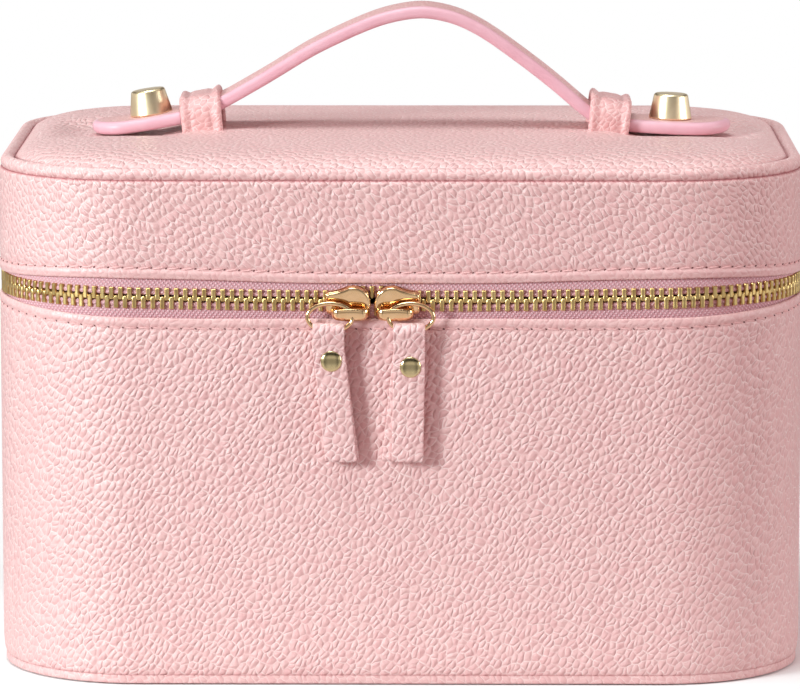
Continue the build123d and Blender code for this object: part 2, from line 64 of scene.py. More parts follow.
# ================================================================ leather walls
# Two walls of drum-dyed pebbled leather are glued round stiff board and folded over beside
# the zip. A line of stitches pulls the leather in along each lip, and the strip between
# the stitches and the lip is stretched smooth.
MM = 0.001
leather = 1.2
corner = 39.0  # radius of the case's corners, seen from above
seam_sink = (0.55, -0.25)  # how far the base seam and the lid seam lie past the walls
stitch_from_lip = {"body": 2.75, "lid": 2.95}
wall_colours = ("#E7BAB8", "#E2ACAC", "#FBE6E3")  # pebbles, deeper pebbles, and crease lines painted pale as highlight
# The strap's pebbles, deeper pebbles and crease lines painted pale as highlight, each a little
# darker than the walls'.
strap_colours = ("#DCA8A6", "#D79B9B", "#F2D6D3")
# Painted shade: a deep rose laid into the leather along its seams, where the groove lies in shade.
seam_shade_colour = "#AD5C61"


def place(node):
    """A CAD node's lowest and highest corner, in millimetres."""
    low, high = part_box(node)
    return np.array(low) / MM, np.array(high) / MM


skin_low, skin_high = place("body_leather")
band_low, band_high = place("lid_band_leather")
half_width, half_depth = skin_high[:2]
chain_height = (skin_high[2] + band_low[2]) / 2
front_half = half_width - corner
side_half = half_depth - corner


def route(run, inset):
    """Points and outward directions round the case. run is the distance from the front's
    middle, positive to the right, along the leather's face: straight, then an arc of a
    corner's radius, straight, an arc, and straight. The points lie inset inside it."""
    run = np.asarray(run, float)
    bend = corner * math.pi / 2
    far = np.abs(run)
    turn = np.clip((far - front_half) / corner, 0, math.pi / 2)
    back_turn = np.clip((far - front_half - bend - 2 * side_half) / corner, 0, math.pi / 2)
    angle = turn + back_turn
    out_x, out_y = np.sin(angle), -np.cos(angle)
    past_side = far - front_half - bend
    past_back = past_side - 2 * side_half - bend
    mid_x = np.minimum(far, front_half) - np.clip(past_back, 0, None)
    mid_y = -side_half + np.clip(past_side, 0, 2 * side_half)
    reach = corner - inset
    sign = np.where(run < 0, -1.0, 1.0)
    points = np.stack([(mid_x + out_x * reach) * sign, mid_y + out_y * reach], -1)
    return points, np.stack([out_x * sign, out_y], -1)


def round_length():
    """The outline's length: four straights and a full circle of the corners' radius."""
    return 4 * (front_half + side_half) + 2 * math.pi * corner


def ease(value, start, end):
    """0 before start, 1 after end, and the smooth step 3s² - 2s³ between them."""
    share = np.clip((np.asarray(value, float) - start) / (end - start), 0, 1)
    return share * share * (3 - 2 * share)


def zip_line(run):
    """Height of the chain's middle: it sags a millimetre at the middle of the front."""
    far = np.abs(run)
    return chain_height - 0.2 + 1.0 * (ease(far, 15, 100) - ease(far, 140, 260))


def lip_room(run):
    """Half the gap between the leather lips: they leave the sliders room along the front,
    close in round the front corners and open again towards the hinge."""
    far = np.abs(run)
    front = 4.75 + 0.5 * ease(far, 20, 60) - 2.25 * ease(far, 75, 130)
    return front + 1.9 * ease(far, 205, 275)


def chain_inset(run):
    """How far the chain's middle lies inside the leather's face: it draws in near the
    hinge, so that the open lid's teeth clear the lower row."""
    return 1.5 + 1.5 * ease(np.abs(run), 212, 262)


def linear(code):
    """An sRGB hex code as linear red, green, blue and an alpha of 1."""
    value = np.array([int(code[k : k + 2], 16) / 255 for k in (1, 3, 5)])
    low, high = value / 12.92, ((value + 0.055) / 1.055) ** 2.4
    return (*np.where(value <= 0.04045, low, high), 1.0)


def feed(tree, node, feeds):
    """Give each named input of a node its value, its colour code or the output that
    drives it."""
    for key, value in feeds.items():
        if isinstance(value, bpy.types.NodeSocket):
            tree.links.new(value, node.inputs[key])
        elif isinstance(value, str):
            node.inputs[key].default_value = linear(value)
        else:
            node.inputs[key].default_value = value


def add_node(tree, kind, feeds=None, out=0, **settings):
    """Add a shader node with its settings and what feeds its inputs. The result is the
    node's chosen output."""
    node = tree.nodes.new("ShaderNode" + kind)
    for key, value in settings.items():
        setattr(node, key, value)
    feed(tree, node, feeds or {})
    return node.outputs[out]


def new_material(name):
    """A named material, its node tree and its Principled shader."""
    material = bpy.data.materials.new(name)
    material.use_nodes = True
    return material, material.node_tree, material.node_tree.nodes["Principled BSDF"]


def pebbled_leather(name, pebble=1.85, depth=0.34, colours=wall_colours, on_surface=True):
    """Drum-dyed leather, whose rounded pebbles lie in slanting rows. Broken pale lines along
    the creases are painted highlight, for the light that their soft shoulders catch, and
    where the piece's mark says that the hide is stretched the grain and these lines fade.
    A seam mark paints shade into it as a deep rose, where the seam lies in shade.
    Height = 0.6 dome(distance to the pebble's middle) + 0.5 step(distance to its edge)."""
    material, tree, shader = new_material(name)
    size = 1.0 if on_surface else 1 / MM
    at = add_node(
        tree, "Mapping",
        {"Vector": add_node(tree, "TexCoord", out="UV" if on_surface else "Object"),
         "Scale": (size, size, size)},
    )
    bent = at
    for wave, reach in ((0.1, 2.4), (0.4, 0.9), (1.0, 0.4)):
        drift = add_node(tree, "TexNoise", {"Vector": at, "Scale": wave, "Detail": 1.0}, out=1)
        bent = add_node(
            tree, "VectorMath", {0: drift, 1: (reach, reach, reach), 2: bent},
            operation="MULTIPLY_ADD",
        )
    rows = add_node(
        tree, "Mapping",
        {"Vector": bent, "Rotation": (0, 0, math.radians(55)),
         "Scale": (pebble * 1.35, pebble * 0.85, pebble)},
        vector_type="TEXTURE",
    )
    edge, middle, tone = (
        add_node(
            tree, "TexVoronoi",
            {"Vector": rows, "Scale": 1.0, "Randomness": 0.75, **more}, out=out,
            feature=feature, voronoi_dimensions="2D" if on_surface else "3D",
        )
        for feature, out, more in (
            ("DISTANCE_TO_EDGE", 0, {}), ("SMOOTH_F1", 0, {"Smoothness": 0.55}), ("F1", 1, {})
        )
    )
    dome, shoulder, line = (
        add_node(
            tree, "MapRange",
            {"Value": value, "From Min": near, "From Max": far, "To Min": first, "To Max": last},
            interpolation_type="SMOOTHSTEP",
        )
        for value, near, far, first, last in (
            (middle, 0.05, 0.75, 0.6, 0.0), (edge, 0.0, 0.34, 0.0, 0.5), (edge, 0.0, 0.1, 0.75, 0.0)
        )
    )
    # The seam mark says where painted shade darkens the leather along a seam.
    stretched, seam = (
        add_node(tree, "Attribute", out=2, attribute_name=mark)
        for mark in ("stretched", "seam")
    )
    patches = add_node(tree, "TexNoise", {"Vector": at, "Scale": 0.38, "Detail": 1.0})
    broken = add_node(
        tree, "MapRange",
        {"Value": patches, "From Min": 0.36, "From Max": 0.6, "To Min": 0.35, "To Max": 1.0},
    )
    crease = add_node(tree, "Math", {0: shoulder, 1: broken, 2: dome}, operation="MULTIPLY_ADD")
    pores = add_node(tree, "TexNoise", {"Vector": at, "Scale": 2.4, "Detail": 3.0})
    height = add_node(tree, "Math", {0: pores, 1: 0.22, 2: crease}, operation="MULTIPLY_ADD")
    strength = add_node(tree, "MapRange", {"Value": stretched, "To Min": 1.0, "To Max": 0.42})
    bump = add_node(
        tree, "Bump", {"Strength": strength, "Distance": depth * MM, "Height": height}
    )
    for fainter in (broken, strength):
        line = add_node(tree, "Math", {0: line, 1: fainter}, operation="MULTIPLY")
    shade = add_node(
        tree, "MapRange",
        {"Value": add_node(tree, "SeparateColor", {"Color": tone}), "To Max": 0.6},
    )
    # Base colour: a random tone per pebble, then painted highlight along the crease lines, then
    # painted shade along the seams.
    colour = colours[0]
    for share, over in ((shade, colours[1]), (line, colours[2]), (seam, seam_shade_colour)):
        colour = add_node(tree, "Mix", {0: share, 6: colour, 7: over}, out=2, data_type="RGBA")
    feed(tree, shader, {"Base Color": colour, "Normal": bump, "Roughness": 0.42})
    return material


wall_leather = pebbled_leather("pebbled_leather")
panel_leather = pebbled_leather("pebbled_leather_panel", on_surface=False)
strap_leather = pebbled_leather("fine_pebbled_leather", 1.5, 0.16, strap_colours)


def closed_mesh(name, points, faces, uv, painted=None, smooth=True, marks=None):
    """A closed mesh from points in millimetres and groups of faces with equally many
    corners. It is turned outward if its signed volume comes out below zero."""
    sizes = np.concatenate([np.full(len(group), group.shape[1]) for group in faces])
    loops = np.concatenate([group.ravel() for group in faces])
    volume = sum(
        np.einsum("ij,ij->", points[g[:, 0]], np.cross(points[g[:, k]], points[g[:, k + 1]]))
        for g in faces
        for k in range(1, g.shape[1] - 1)
    )
    mesh = bpy.data.meshes.new(name)
    mesh.vertices.add(len(points))
    mesh.vertices.foreach_set("co", (points * MM).astype(np.float32).ravel())
    mesh.loops.add(len(loops))
    mesh.polygons.add(len(sizes))
    mesh.loops.foreach_set("vertex_index", loops.astype(np.int32))
    starts = np.concatenate([[0], np.cumsum(sizes)[:-1]])
    mesh.polygons.foreach_set("loop_start", starts.astype(np.int32))
    mesh.uv_layers.new(name="UVMap").data.foreach_set("uv", uv.astype(np.float32).ravel())
    if painted is not None:
        mesh.polygons.foreach_set("material_index", painted.astype(np.int32))
    for mark, values in (marks or {}).items():
        layer = mesh.attributes.new(mark, "FLOAT", "POINT")
        layer.data.foreach_set("value", np.ravel(values).astype(np.float32))
    mesh.polygons.foreach_set("use_smooth", np.full(len(sizes), smooth))
    mesh.update()
    if volume < 0:
        mesh.flip_normals()
    mesh.validate()
    return mesh


def grid(u, v):
    """Every pair of a u and a v, in rows of equal u."""
    return np.stack(np.meshgrid(u, v, indexing="ij"), -1)


def skin(name, points, ring=False, uv=None, painted=None, marks=None, caps=(0, 0)):
    """A closed surface from rows of points. Columns always run round a section, and the
    rows join up into a ring or end in flat caps. uv has one more row and column than there
    are faces. painted gives each column's material index, and caps that of the two ends."""
    rows, columns = points.shape[:2]
    face_rows = rows if ring else rows - 1
    i, j = np.meshgrid(np.arange(face_rows), np.arange(columns), indexing="ij")
    next_i, next_j = (i + 1) % rows, (j + 1) % columns
    corners = ((i, j), (next_i, j), (next_i, next_j), (i, next_j))
    faces = [np.stack([a * columns + b for a, b in corners], -1).reshape(-1, 4)]
    if uv is None:
        along = np.linalg.norm(np.diff(points, axis=0), axis=-1).mean(1)
        across = np.linalg.norm(np.diff(points, axis=1), axis=-1).mean(0)
        u = np.append(0, np.cumsum(np.append(along, along.mean())))[: face_rows + 1]
        v = np.append(0, np.cumsum(np.append(across, across.mean())))
        uv = grid(u, v)
    loops = [np.stack([uv[i, j], uv[i + 1, j], uv[i + 1, j + 1], uv[i, j + 1]], 2).reshape(-1, 2)]
    painted = np.zeros(columns, int) if painted is None else np.asarray(painted)
    index = [np.tile(painted, face_rows)]
    if not ring:
        for row, way, paint in ((0, 1, caps[0]), (rows - 1, -1, caps[1])):
            cap = (row * columns + np.arange(columns))[::way]
            faces.append(cap[None])
            loops.append(uv[row, :columns][::way])
            index.append(np.array([paint]))
    loops, index = np.concatenate(loops), np.concatenate(index)
    return closed_mesh(name, points.reshape(-1, 3), faces, loops, index, marks=marks)


def link(mesh, material, body, nodes=()):
    """Make a mesh a piece of the same name, with its materials, its body and its material
    slot. nodes are the CAD nodes that it stands for."""
    piece = bpy.data.objects.new(mesh.name, mesh)
    scene.collection.objects.link(piece)
    for each in material if isinstance(material, tuple) else (material,):
        mesh.materials.append(each)
    if body:
        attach(piece, body)
    if nodes:
        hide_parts(*nodes)
    return piece


def around(name, run, inset, height, body, node, marks=None):
    """A leather skin all round the case, from the insets and heights of its section at
    each run. Its UV is the run and the length along the section, in millimetres."""
    points, _ = route(run[:, None], inset)
    surface = np.concatenate([points, height[..., None]], -1)
    lengths = np.linalg.norm(np.diff(surface, axis=1), axis=-1).mean(0)
    v = np.concatenate([[0], np.cumsum(lengths), [lengths.sum() + 1]])
    uv = grid(np.append(run, run[0] + round_length()), v)
    mesh = skin(name, surface, ring=True, uv=uv, marks=marks)
    return link(mesh, wall_leather, body, [node])


def wall_section(start, lip, stitch_gap, tuck):
    """Insets and heights of a wall's section from its seam end up its face, round its lip
    and back down inside. The inset is a sum of bells: in under the stitches, out between
    them and the lip, and in at the seam. Marks say where the hide is stretched, and where
    painted shade darkens it along the seam."""
    way = np.sign(np.mean(lip) - start)
    steps = np.concatenate([0.9 * np.linspace(0, 1, 34)[:-1] ** 2.2, np.linspace(0.9, 1, 22)])
    span = (lip - start) * way
    rise = steps[None] * (span[:, None] - leather / 2)
    below = span[:, None] - rise
    inset = 0.30 * np.exp(-(((below - stitch_gap) / 0.55) ** 2))
    inset -= 0.20 * np.exp(-(((below - stitch_gap / 2 - 0.1) / 0.75) ** 2))
    inset += tuck[0] * np.exp(-((rise / 0.5) ** 2)) + tuck[1] * np.exp(-rise / 1.8)
    outer_z = start + way * rise
    lip_angle = np.linspace(0, math.pi, 7)[1:]
    lip_inset = inset[:, -1:] + leather / 2 * (1 - np.cos(lip_angle))
    lip_z = outer_z[:, -1:] + way * leather / 2 * np.sin(lip_angle)
    inner_z = outer_z[:, -1:] + (start - outer_z[:, -1:]) * np.array([0.06, 0.5, 1.0])
    inner_inset = np.full_like(inner_z, leather)
    rest = np.ones((len(rise), lip_angle.size + 3))
    stretched = 1 - ease(below, stitch_gap - 0.5, stitch_gap + 1.6)
    marks = {
        "stretched": np.hstack([stretched, rest]),
        # Painted shade along the seam at the wall's foot or top, fading within about a millimetre.
        "seam": np.hstack([np.exp(-((rise / 0.38) ** 2)), 0 * rest]),
    }
    return (
        np.hstack([inset, lip_inset, inner_inset]),
        np.hstack([outer_z, lip_z, inner_z]),
        marks,
    )


runs = np.arange(-224, 224) * round_length() / 448
base_seam, lid_seam = skin_low[2] - seam_sink[0], band_high[2] - seam_sink[1]
for name, body, node, seam_height, way, tuck in (
    ("body_skin", "body", "body_leather", base_seam, -1, (0.3, 0.75)),
    ("lid_band_skin", "lid", "lid_band_leather", lid_seam, 1, (0.7, 0.0)),
):
    lip = zip_line(runs) + way * lip_room(runs)
    inset, height, marks = wall_section(seam_height, lip, stitch_from_lip[body], tuck)
    around(name, runs, inset, height, body, node, marks)

# ================================================================ piping
# Strips of the same leather are rolled over a cord and sewn into the seams: a stout roll
# round the lid's top and a thin one round the foot. The hide is drawn tight over the cord.
angle = np.arange(24) * math.pi / 12
piping_foot = place("base_piping")[0][2]
for name, node, body, way, foot, cord, setback, tension, flat in (
    ("lid_piping_roll", "lid_piping", "lid", 1, band_high[2] - 0.4, 1.9, 0.45, 0.35, 1.0),
    ("base_piping_roll", "base_piping", "body", -1, piping_foot, 1.3, 0.65, 0.6, 0.5),
):
    across, up = (np.sign(axis) * np.abs(axis) ** flat for axis in (np.cos(angle), np.sin(angle)))
    inset = np.broadcast_to(setback + cord + cord * across, (len(runs), 24))
    height = np.broadcast_to(foot + cord + cord * up, (len(runs), 24))
    # Painted shade on the side of each roll that turns into its seam.
    seam_shade_mask = ease(-way * np.sin(angle), 0.62, 0.93)
    marks = {
        "stretched": np.full((len(runs), 24), tension),
        "seam": np.broadcast_to(seam_shade_mask, (len(runs), 24)),
    }
    around(name, runs, inset, height, body, node, marks)

# ================================================================ padded lid top
# One panel of leather over thin foam. It dips into the seam beside the piping and rises
# over the padding. The loops pull it down a little, and the strap's ends have pressed
# shallow hollows into it.
top_crown = place("lid_top_leather")[1][2]
loop_low, loop_high = place("right_keeper_loop")
loop_x = (loop_low[0] + loop_high[0]) / 2
panel_edge = 4.3  # from the leather wall's face to the panel's seam
padding_rise = 2.7
crown_rise = 1.6
hollow_depth = 2.3
hollow_end = {-1: 93.0, 1: 96.0}
edge_rings = panel_edge + 30 * np.linspace(0, 1, 26) ** 1.5
inner_shares = np.array([0.9, 0.75, 0.6, 0.45, 0.3, 0.15, 0.04])
outer_plan = np.stack([route(runs, ring)[0] for ring in edge_rings])
plan = np.concatenate([outer_plan, inner_shares[:, None, None] * outer_plan[-1]])
from_edge = np.concatenate([edge_rings, panel_edge + 30 + 30 * (1 - inner_shares)])
padding = np.exp(-(from_edge[:, None] - panel_edge) / 4.5)
top_z = top_crown - padding_rise * padding * np.ones(plan.shape[:2])
top_z = top_z + crown_rise * (1 - np.exp(-(from_edge[:, None] - panel_edge) / 9))
for side in (-1, 1):
    for leg in (-1, 1):
        from_leg = plan - [side * loop_x, leg * loop_high[1]]
        apart = np.hypot(from_leg[..., 0] / 7, from_leg[..., 1] / 3.5)
        top_z = top_z - 0.5 * np.exp(-(apart**2))
    reach = plan[..., 0] * side
    pressed = ease(reach, 58, 66) * (1 - ease(reach, hollow_end[side] - 4, hollow_end[side] + 7))
    pressed = pressed * (1 - ease(np.abs(plan[..., 1]), 11, 27))
    top_z = top_z - hollow_depth * pressed
upper = np.concatenate([plan, top_z[..., None]], -1)
rows = np.concatenate([(upper - [0, 0, leather])[::-1], upper])
uv = np.concatenate([rows[..., :2], rows[:, :1, :2]], 1)
# Painted shade along the panel's edge, where it dips into the seam beside the piping.
seam_shade_mask = np.exp(-(((from_edge[:, None] - panel_edge) / 0.5) ** 2)) * np.ones(plan.shape[:2])
marks = {"seam": np.concatenate([0 * seam_shade_mask, seam_shade_mask])}
mesh = skin("lid_top_skin", rows, uv=uv, marks=marks)
lid_top = link(mesh, wall_leather, "lid", ["lid_top_leather"])

# ================================================================ board, foam and lining
# Under the leather are grey pasteboard panels and a sheet of white foam, which show only
# as thin edges. Inside is a plain-woven lining cloth, whose threads are drawn half a
# millimetre apart, as coarse as they need to be to show.
def two_toned(name, light, dark, grit, detail, rough):
    """A plain material whose colour wanders between two tones. grit is the scale of that
    noise per metre. The result is the material and the noise."""
    material, tree, shader = new_material(name)
    at = add_node(tree, "TexCoord", out="Object")
    noise = add_node(tree, "TexNoise", {"Vector": at, "Scale": grit, "Detail": detail})
    colour = add_node(tree, "Mix", {0: noise, 6: dark, 7: light}, out=2, data_type="RGBA")
    feed(tree, shader, {"Base Color": colour, "Roughness": rough})
    return material, noise


def relief(tree, shader, pattern, low, high, deep, shine, strength=1.0):
    """Colour a shader from low to high along a pattern, and raise it by deep millimetres
    where the pattern is high. shine holds what else its inputs get."""
    raised = {"Strength": strength, "Distance": deep * MM, "Height": pattern}
    bump = add_node(tree, "Bump", raised)
    colour = add_node(tree, "Mix", {0: pattern, 6: low, 7: high}, out=2, data_type="RGBA")
    feed(tree, shader, {"Base Color": colour, "Normal": bump, **shine})


def wave_scale(pitch):
    """The scale at which a wave texture repeats after one pitch: 2 pi / 20 / pitch."""
    return 2 * math.pi / 20 / pitch


greyboard, _ = two_toned("pasteboard", "#B2A99D", "#978D80", 300.0, 3.0, 0.9)
foam_sheet, _ = two_toned("white_foam_sheet", "#F2ECE3", "#E2DACE", 900.0, 3.0, 0.95)

lining_cloth, tree, shader = new_material("plain_woven_lining")
at = add_node(tree, "TexCoord", out="Object")
weave = 0.0
for band in ("X", "Y", "Z"):
    threads = add_node(
        tree, "TexWave",
        {"Vector": at, "Scale": wave_scale(0.5 * MM), "Distortion": 0.3},
        out=1, wave_type="BANDS", bands_direction=band,
    )
    weave = add_node(tree, "Math", {0: threads, 1: weave}, operation="ADD")
weave = add_node(tree, "Math", {0: weave, 1: 3.0}, operation="DIVIDE")
shine = {"Roughness": 0.82, "Sheen Weight": 0.15}
relief(tree, shader, weave, "#DDA9A6", "#F0CECA", 0.08, shine)

# ================================================================ zip tapes
# Twill tapes of polyester with a corded edge that the teeth grip. They stop beside the
# leather hinge. The twill's slanting ribs are drawn a millimetre apart, so that they show.
zip_twill, tree, shader = new_material("zip_tape_twill")
at = add_node(tree, "TexCoord", out="UV")
weave = 1.0
for slant, pitch in ((38, 0.95), (-52, 0.8)):
    slanted = add_node(tree, "Mapping", {"Vector": at, "Rotation": (0, 0, math.radians(slant))})
    ribs = add_node(
        tree, "TexWave",
        {"Vector": slanted, "Scale": wave_scale(pitch), "Distortion": 0.8,
         "Detail": 1.0, "Detail Scale": 1.4},
        out=1, wave_type="BANDS", bands_direction="X",
    )
    weave = add_node(tree, "Math", {0: ribs, 1: weave}, operation="MULTIPLY")
shine = {"Roughness": 0.8, "Specular IOR Level": 0.25}
relief(tree, shader, weave, "#D7A1A9", "#F6D3D9", 0.2, shine)

rear_stop = 57.0  # half the stretch of the back that has no teeth
tape_thick = 0.27
tape_cord = 0.62
tape_parting = 0.85  # from the middle of the chain to the near side of each cord
flat_starts = 1.5  # from there to where the tape is flat
tape_half = round_length() / 2 - place("hinge_strip")[1][0] - 0.15
tape_runs = np.linspace(-tape_half, tape_half, 420)
for name, body, node, way in (
    ("lower_tape", "body", "lower_zip_tape", -1),
    ("upper_tape", "lid", "upper_zip_tape", 1),
):
    near = zip_line(tape_runs) + way * tape_parting
    far_edge = np.full_like(near, place(node)[0 if way < 0 else 1][2])
    angle = np.linspace(-0.8 * math.pi, 0.8 * math.pi, 11)
    inset = np.append(tape_cord * np.sin(angle), tape_thick * np.array([1, 1, -1, -1]))
    round_cord = near[:, None] + way * tape_cord * (1 - np.cos(angle))
    flat_edge = near + way * flat_starts
    flat_part = np.stack([flat_edge, far_edge, far_edge, flat_edge], 1)
    height = np.hstack([round_cord, flat_part])
    points, _ = route(tape_runs[:, None], chain_inset(tape_runs)[:, None] + inset)
    mesh = skin(name, np.concatenate([points, height[..., None]], -1))
    link(mesh, zip_twill, body, [node])

# ================================================================ zip teeth
# Every tooth is a small brass casting, tumbled and antique plated: two legs round the
# tape's cord and a head that locks between the heads of the other row. The sliders hold
# the teeth apart between them.
def plated_metal(name, light, dark, smooth, dull):
    """A plated metal. Fine wear, about 2 mm across, mingles its two tones and makes it
    smooth in some places and dull in others."""
    material, wear = two_toned(name, light, dark, 420.0, 2.0, smooth)
    tree = material.node_tree
    rough = add_node(tree, "MapRange", {"Value": wear, "To Min": smooth, "To Max": dull})
    feed(tree, tree.nodes["Principled BSDF"], {"Roughness": rough, "Metallic": 1.0})
    return material


# Tumbled brass glints softly. The sliders and rings are polished until they mirror the
# room, the studs are brushed and so blur it, the rivets have aged to an olive gold, and
# the hidden screws are plain steel.
antique_brass = plated_metal("antique_brass", "#E3C78E", "#B98F52", 0.24, 0.42)
gilt = plated_metal("polished_gilt", "#F1CDA2", "#E5B683", 0.07, 0.15)
pale_gilt = plated_metal("pale_gilt", "#FFEBCB", "#FADDAE", 0.32, 0.38)
aged_gilt = plated_metal("aged_gilt", "#DAC69A", "#C6B080", 0.12, 0.2)
screw_steel = plated_metal("screw_steel", "#BEBEBC", "#A9A9A7", 0.3, 0.42)


def many(name, rings, smooth=True):
    """A mesh of many like solids. rings holds, for each solid, rows of points round its
    section, and every solid ends in flat caps."""
    count, rows, columns = rings.shape[:3]
    i, j = np.meshgrid(np.arange(rows - 1), np.arange(columns), indexing="ij")
    n = (j + 1) % columns
    corners = ((i, j), (i, n), (i + 1, n), (i + 1, j))
    quads = np.stack([a * columns + b for a, b in corners], -1).reshape(-1, 4)
    ends = np.array([np.arange(columns)[::-1], (rows - 1) * columns + np.arange(columns)])
    step = np.arange(count)[:, None, None] * rows * columns
    faces = [(quads + step).reshape(-1, 4), (ends + step).reshape(-1, columns)]
    flat = rings.reshape(-1, 3)
    uv = flat[np.concatenate([group.ravel() for group in faces])][:, ::2]
    return closed_mesh(name, flat, faces, uv, smooth=smooth)


def stand_round(places, inset, height):
    """Where a row of small solids stands: a point on the route at each run, and three rows
    of directions there, along the route, upward and outward."""
    spots, outward = route(places, inset)
    axes = np.zeros((len(places), 3, 3))
    axes[:, 0, 0], axes[:, 0, 1] = -outward[:, 1], outward[:, 0]
    axes[:, 1, 2] = 1
    axes[:, 2, :2] = outward
    return np.column_stack([spots, height]), axes


def copies(solid, base, axes):
    """A solid's points, given along, up and outward, set up at each base."""
    return base[:, None, None] + solid @ axes[:, None]


tooth_pitch = 2.5
random = np.random.default_rng(7)
slider_boxes = {side: place(f"{side}_slider") for side in ("left", "right")}
between_sliders = (slider_boxes["left"][1][0] + slider_boxes["right"][0][0]) / 2
tooth_side = np.array(  # from the middle: half the width, and the distance from the chain
    [(0.6, 2.85), (0.67, 2.5), (0.62, 1.3), (0.62, 0.85), (0.75, 0.6), (0.75, 0.15),
     (0.62, -0.3), (0.36, -0.55)]
)
tooth_outline = np.concatenate([tooth_side * [-1, 1], tooth_side[::-1]])
tooth_middle = np.array([0.0, 1.2])
tooth_layers = (  # width and height as shares of the outline's, and the distance outward
    (0.5, 0.86, 1.15), (0.84, 0.95, 1.02), (1.0, 1.0, 0.68), (1.0, 1.0, -1.0), (0.84, 0.94, -1.15)
)
tooth = np.stack(
    [
        np.column_stack([tooth_middle + (tooth_outline - tooth_middle) * [wide, tall],
                         np.full(len(tooth_outline), out)])
        for wide, tall, out in tooth_layers
    ]
)
for row, body, way, phase in (("upper", "lid", 1, 0.0), ("lower", "body", -1, 0.5)):
    far = round_length() / 2 - rear_stop
    count = int(far / tooth_pitch)
    places = (np.arange(-count, count + 1) + phase) * tooth_pitch
    places = places[np.abs(places) < far]
    parted = 1.2 * ease(9.5 - np.abs(places - between_sliders), 0, 3.7)
    base, axes = stand_round(places, chain_inset(places), zip_line(places) + way * parted)
    base = base + random.normal(0, 0.03, base.shape)
    mesh = many(f"{row}_teeth", copies(tooth * [1, way, 1], base, axes), smooth=False)
    nodes = [f"{row}_teeth_front", f"{row}_teeth_sides"]
    link(mesh, antique_brass, body, nodes)

# ================================================================ stitches
# Polyester thread in the leather's own pink lies in short humps between needle holes
# along both lips. The holes are painted shade: small dark slanting slits laid into the
# leather where the holes lie in shade.
thread, _ = two_toned("polyester_thread", "#F3C6C4", "#E6B1B0", 2500.0, 1.0, 0.7)
painted_hole_shade, _ = two_toned("needle_hole_shade", "#77403F", "#5C2C2D", 3000.0, 1.0, 0.7)
stitch_count = int(round_length() / 3.9)
stitch_pitch = round_length() / stitch_count
thread_half = 0.36 * stitch_pitch
turn = np.arange(8) * math.pi / 4
reach = np.linspace(-1, 1, 7)[:, None]
hump = 0.05 * (1 - reach**2)
thick = 0.19 * np.sqrt(np.clip(1 - (reach * 0.94) ** 4, 0.02, 1))
sunk, spread = np.array([[-0.33], [-0.03], [0.03]]), np.array([[0.7], [1.0], [0.55]])
for name, body, way in (("lower", "body", -1), ("upper", "lid", 1)):
    places = (np.arange(stitch_count) - stitch_count / 2 + 0.5) * stitch_pitch
    height = zip_line(places) + way * (lip_room(places) + stitch_from_lip[body])
    base, axes = stand_round(places, 0.16, height)
    upward = 0.18 * way * reach + thick * np.sin(turn)
    outward = hump + 0.8 * thick * np.cos(turn)
    stitch = np.stack(np.broadcast_arrays(thread_half * reach, upward, outward), -1)
    link(many(f"{name}_stitches", copies(stitch, base, axes)), thread, body)
    # Each hole is a dark slit of painted shade, set just into the leather's face.
    along = stitch_pitch / 2 + 0.29 * spread * np.cos(turn)
    upward = spread * (0.22 * np.sin(turn) + 0.1 * way * np.cos(turn))
    slit = np.stack(np.broadcast_arrays(along, upward, sunk), -1)
    mesh = many(f"{name}_needle_hole_shade", copies(slit, base, axes))
    link(mesh, painted_hole_shade, body)

# ================================================================ sliders
# A die-cast zinc slider, polished and gilt: a pear-shaped plate with a soft edge over each
# face of the chain, flanges that hold the two rows, and an arched bridge for the ring.
tilt = math.radians(18)
slider_half = 6.05
nose_radius = 4.75
tail_half, tail_round = 3.0, 1.1
bridge_half, bridge_foot, bridge_stand, bridge_drop = 4.4, 2.3, 2.85, 1.95
plate_foot = 1.9  # from the middle of the chain to the inner face of each plate
rim_middle, rim_deep, rim_thick = 1.2, 1.7, 0.7
rim_starts = 2.4  # the slot for the tape ends here, on each side of the middle


def unit(vectors):
    """Vectors divided by their lengths."""
    return vectors / np.linalg.norm(vectors, axis=-1, keepdims=True)


def circle(angle):
    """Points of the circle of radius 1 at these angles."""
    return np.stack([np.cos(angle), np.sin(angle)], -1)


def sweep(line, across, section):
    """Points of a section carried along a line. across is the direction of the section's
    first axis at each point; its second axis is square to that and to the line."""
    line, across = np.asarray(line, float), np.broadcast_to(np.asarray(across, float), line.shape)
    up = unit(np.cross(unit(np.gradient(line, axis=0)), across))
    section = np.broadcast_to(section, (len(line),) + np.shape(section)[-2:])
    return line[:, None] + section[..., :1] * across[:, None] + section[..., 1:] * up[:, None]


def rounded_section(wide, high, radius, steps=4):
    """A rectangle with quarter-circle corners, as a loop of points round the middle."""
    quarter = np.linspace(0, math.pi / 2, steps + 1)
    turns = [quarter + k * math.pi / 2 for k in range(4)]
    sides = ((1, 1), (-1, 1), (-1, -1), (1, -1))
    return np.concatenate(
        [
            [sx * (wide / 2 - radius), sy * (high / 2 - radius)]
            + radius * circle(turn)
            for turn, (sx, sy) in zip(turns, sides)
        ]
    )


def distances(line):
    """How far each point of a line lies from its first point, along the line."""
    return np.append(0, np.cumsum(np.linalg.norm(np.diff(line, axis=0), axis=1)))


